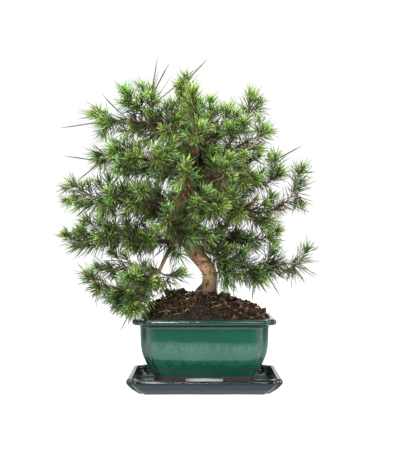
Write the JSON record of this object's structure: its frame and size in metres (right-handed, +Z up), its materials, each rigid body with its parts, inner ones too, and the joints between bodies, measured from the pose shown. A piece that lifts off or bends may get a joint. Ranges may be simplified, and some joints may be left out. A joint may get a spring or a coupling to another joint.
{
  "type": "aleppo pine bonsai",
  "caption": "Aleppo pine bonsai with a curved trunk and sprays of green needles, in a glazed pot with notched corners that stands in a matching drip tray.",
  "frame": {"origin": "on the floor under the middle of the drip tray", "axes": "+Z up, the front of the pot and tree faces -Y, +X to the viewer's right"},
  "size_m": [0.3824, 0.2633, 0.4864],
  "materials": {
    "tray_glaze": "dark blue-green gloss glaze, thin and brown on the edges, bare clay foot",
    "pot_glaze": "green gloss glaze, pale and thin on the edges, bare clay foot",
    "soil": "rough dark bark compost with chips, fibres and a little moss",
    "bark": "rough pinkish brown scaly bark",
    "needles": "matt green needles, yellow-green at the shoot tips, on thin brown twigs",
    "mesh_plastic": "black plastic mesh"
  },
  "bodies": {
    "root": {"drain_mesh_left": "mesh_plastic", "drain_mesh_right": "mesh_plastic", "drip_tray": "tray_glaze", "pot": "pot_glaze", "soil": "soil", "spray_back_high_1": "needles", "spray_back_left_1": "needles", "spray_back_left_2": "needles", "spray_back_low_1": "needles", "spray_back_mid_1": "needles", "spray_back_mid_2": "needles", "spray_back_right_1": "needles", "spray_front_centre_1": "needles", "spray_front_high_1": "needles", "spray_front_low_1": "needles", "spray_front_low_2": "needles", "spray_front_mid_1": "needles", "spray_front_right_1": "needles", "spray_high_left_1": "needles", "spray_high_left_2": "needles", "spray_high_left_3": "needles", "spray_high_left_4": "needles", "spray_high_left_5": "needles", "spray_high_right_1": "needles", "spray_high_right_2": "needles", "spray_high_right_3": "needles", "spray_left_1": "needles", "spray_left_2": "needles", "spray_left_3": "needles", "spray_left_4": "needles", "spray_low_left_1": "needles", "spray_low_left_2": "needles", "spray_low_left_3": "needles", "spray_low_left_4": "needles", "spray_low_left_upper_1": "needles", "spray_low_right_1": "needles", "spray_low_right_2": "needles", "spray_lowest_right_1": "needles", "spray_lowest_right_2": "needles", "spray_lowest_right_3": "needles", "spray_lowest_right_4": "needles", "spray_mid_left_1": "needles", "spray_mid_left_2": "needles", "spray_mid_left_3": "needles", "spray_mid_right_1": "needles", "spray_mid_right_2": "needles", "spray_mid_right_3": "needles", "spray_mid_right_4": "needles", "spray_right_1": "needles", "spray_right_2": "needles", "spray_right_3": "needles", "spray_right_4": "needles", "spray_trunk_1": "needles", "spray_trunk_2": "needles", "spray_up_left_1": "needles", "spray_up_left_2": "needles", "spray_up_left_3": "needles", "spray_up_right_1": "needles", "spray_up_right_2": "needles", "trunk_and_branches": "bark"}
  },
  "joints": []
}
